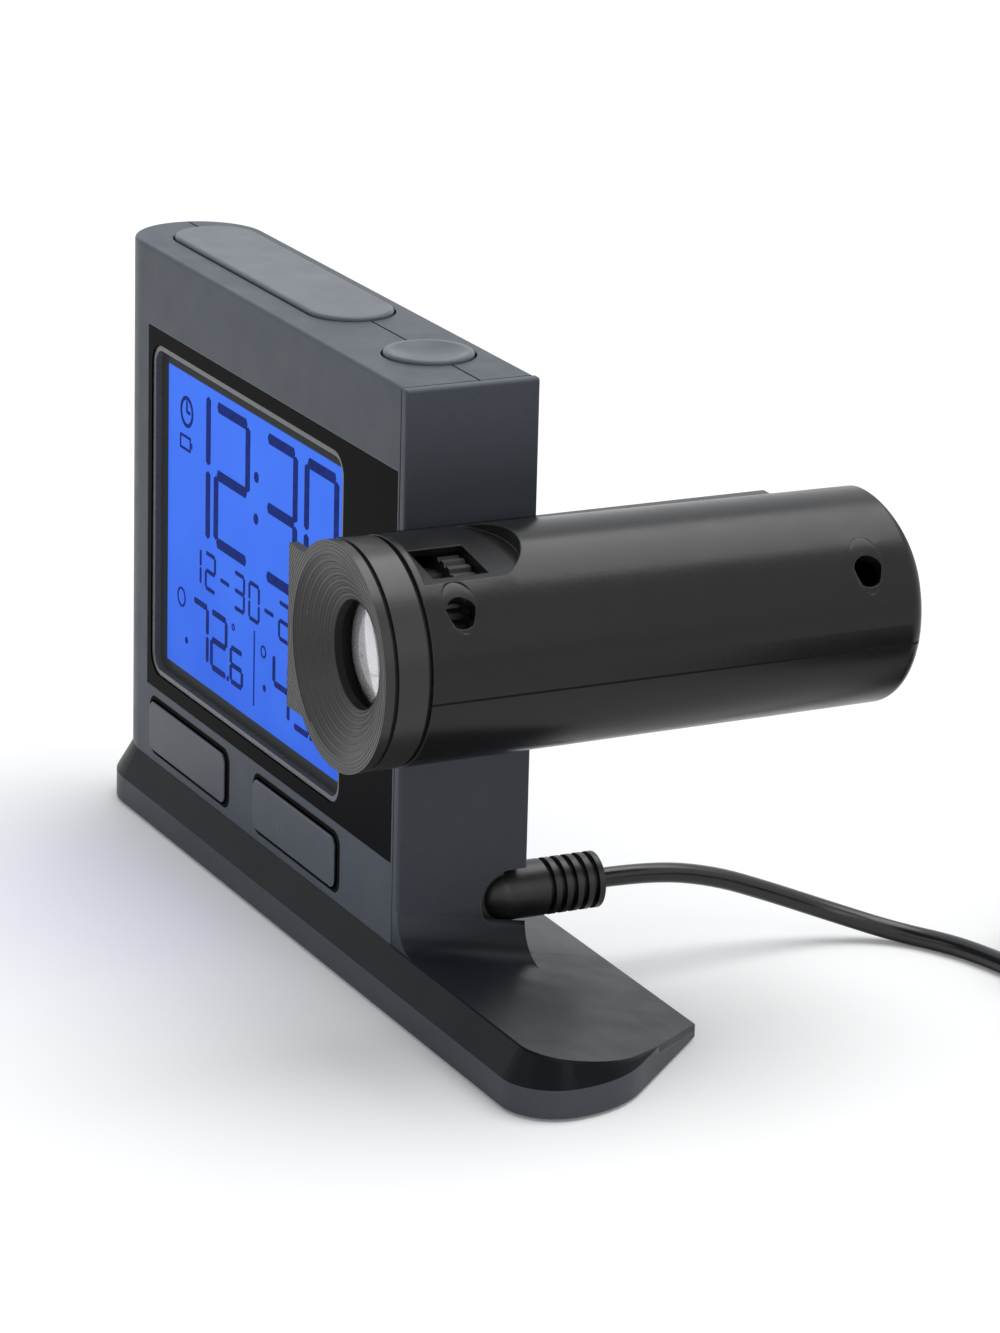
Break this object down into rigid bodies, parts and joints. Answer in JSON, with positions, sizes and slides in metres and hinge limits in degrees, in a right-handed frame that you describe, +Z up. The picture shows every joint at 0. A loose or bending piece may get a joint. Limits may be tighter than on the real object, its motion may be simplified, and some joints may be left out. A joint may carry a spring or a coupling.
{
  "type": "projection alarm clock",
  "caption": "Flat upright desk clock on a wide foot, with a lit display, a tilting projector arm at its side, press keys and a supply lead.",
  "frame": {"origin": "centre of the foot's outline, on the surface that it stands on", "axes": "+X to the right as the display is read, towards the projector arm, +Y to the back, +Z up"},
  "size_m": [0.2377, 0.1565, 0.0926],
  "materials": {
    "arm_plastic": "satin black",
    "battery_wrap": "satin",
    "black_pane": "gloss",
    "black_plastic": "satin black",
    "brass_blades": "satin",
    "circuit_board": "satin",
    "clear_lens": "clear",
    "copper_wire": "satin",
    "cord_jacket": "satin",
    "dark_housing": "satin dark grey",
    "ferrite": "matte",
    "frame_line": "satin",
    "image_glass": "gloss",
    "lit_display": "lit blue",
    "pad_rubber": "matte",
    "plated_steel": "brushed",
    "satin_panel": "satin bluish charcoal",
    "white_plastic": "satin"
  },
  "bodies": {
    "case": {"adapter_blades": "brass_blades", "antenna_rod": "ferrite", "antenna_winding": "copper_wire", "backlight": "white_plastic", "base_plate": "dark_housing", "base_screws": "plated_steel", "base_shell": "satin_panel", "battery_cells": "battery_wrap", "battery_contacts": "plated_steel", "battery_springs": "plated_steel", "buzzer": "black_plastic", "case_screws": "plated_steel", "cord_coil": "cord_jacket", "cord_lead": "cord_jacket", "cord_tail": "cord_jacket", "dc_plug": "black_plastic", "dc_plug_tip": "plated_steel", "dc_socket": "black_plastic", "display_window": "black_pane", "foot_pads": "pad_rubber", "front_housing": "dark_housing", "key_switches": "black_plastic", "lcd_connector": "pad_rubber", "lcd_frame": "frame_line", "lcd_glass": "lit_display", "main_board": "circuit_board", "pivot_bush": "white_plastic", "rear_housing": "dark_housing", "side_panel": "satin_panel", "wall_adapter": "black_plastic"},
    "arm": {"arm_upper_shell": "arm_plastic", "arm_lower_shell": "arm_plastic", "arm_screws": "plated_steel", "lens_cap": "arm_plastic", "optics_tube": "black_plastic", "image_plate": "image_glass", "image_holder": "black_plastic", "condenser_lens": "clear_lens", "led": "clear_lens", "led_board": "circuit_board", "pivot_shaft": "plated_steel", "friction_washer": "plated_steel", "pivot_nut": "plated_steel"},
    "focus": {"focus_wheel": "black_plastic"},
    "lens_carriage": {"lens_barrel": "black_plastic", "projection_lens": "clear_lens"},
    "snooze": {"snooze_bar": "dark_housing"},
    "round_button": {"round_key": "dark_housing"},
    "left_button": {"left_key": "dark_housing"},
    "right_button": {"right_key": "dark_housing"},
    "door": {"battery_door": "dark_housing"}
  },
  "joints": [
    {"name": "arm_tilt", "type": "hinge", "parent": "case", "child": "arm", "pos_m": [0.0325, -0.0022, 0.0604], "axis": [-1, 0, 0], "range_deg": [0, 180]},
    {"name": "focus_turn", "type": "hinge", "parent": "arm", "child": "focus", "pos_m": [0.0487, -0.0201, 0.0604], "axis": [0, 1, 0], "range_deg": [0, 180]},
    {"name": "lens_slide", "type": "slide", "parent": "arm", "child": "lens_carriage", "axis": [0, 1, 0], "range_m": [0, 0.003]},
    {"name": "snooze_press", "type": "slide", "parent": "case", "child": "snooze", "axis": [0, 0, -1], "range_m": [0, 0.0006], "stiffness_N_per_m": 400, "springref_m": -0.0006},
    {"name": "round_press", "type": "slide", "parent": "case", "child": "round_button", "axis": [0, 0, -1], "range_m": [0, 0.0006], "stiffness_N_per_m": 400, "springref_m": -0.0006},
    {"name": "left_key_press", "type": "slide", "parent": "case", "child": "left_button", "axis": [0, 1, 0], "range_m": [0, 0.0006], "stiffness_N_per_m": 400, "springref_m": -0.0006},
    {"name": "right_key_press", "type": "slide", "parent": "case", "child": "right_button", "axis": [0, 1, 0], "range_m": [0, 0.0006], "stiffness_N_per_m": 400, "springref_m": -0.0006},
    {"name": "door_open", "type": "hinge", "parent": "case", "child": "door", "pos_m": [-0.0262, 0.0038, 0.02985], "axis": [-1, 0, 0], "range_deg": [0, 70]}
  ],
  "couplings": [
    {"joint": "focus_turn", "follows": "lens_slide", "rad_per_m": 1047.2}
  ]
}
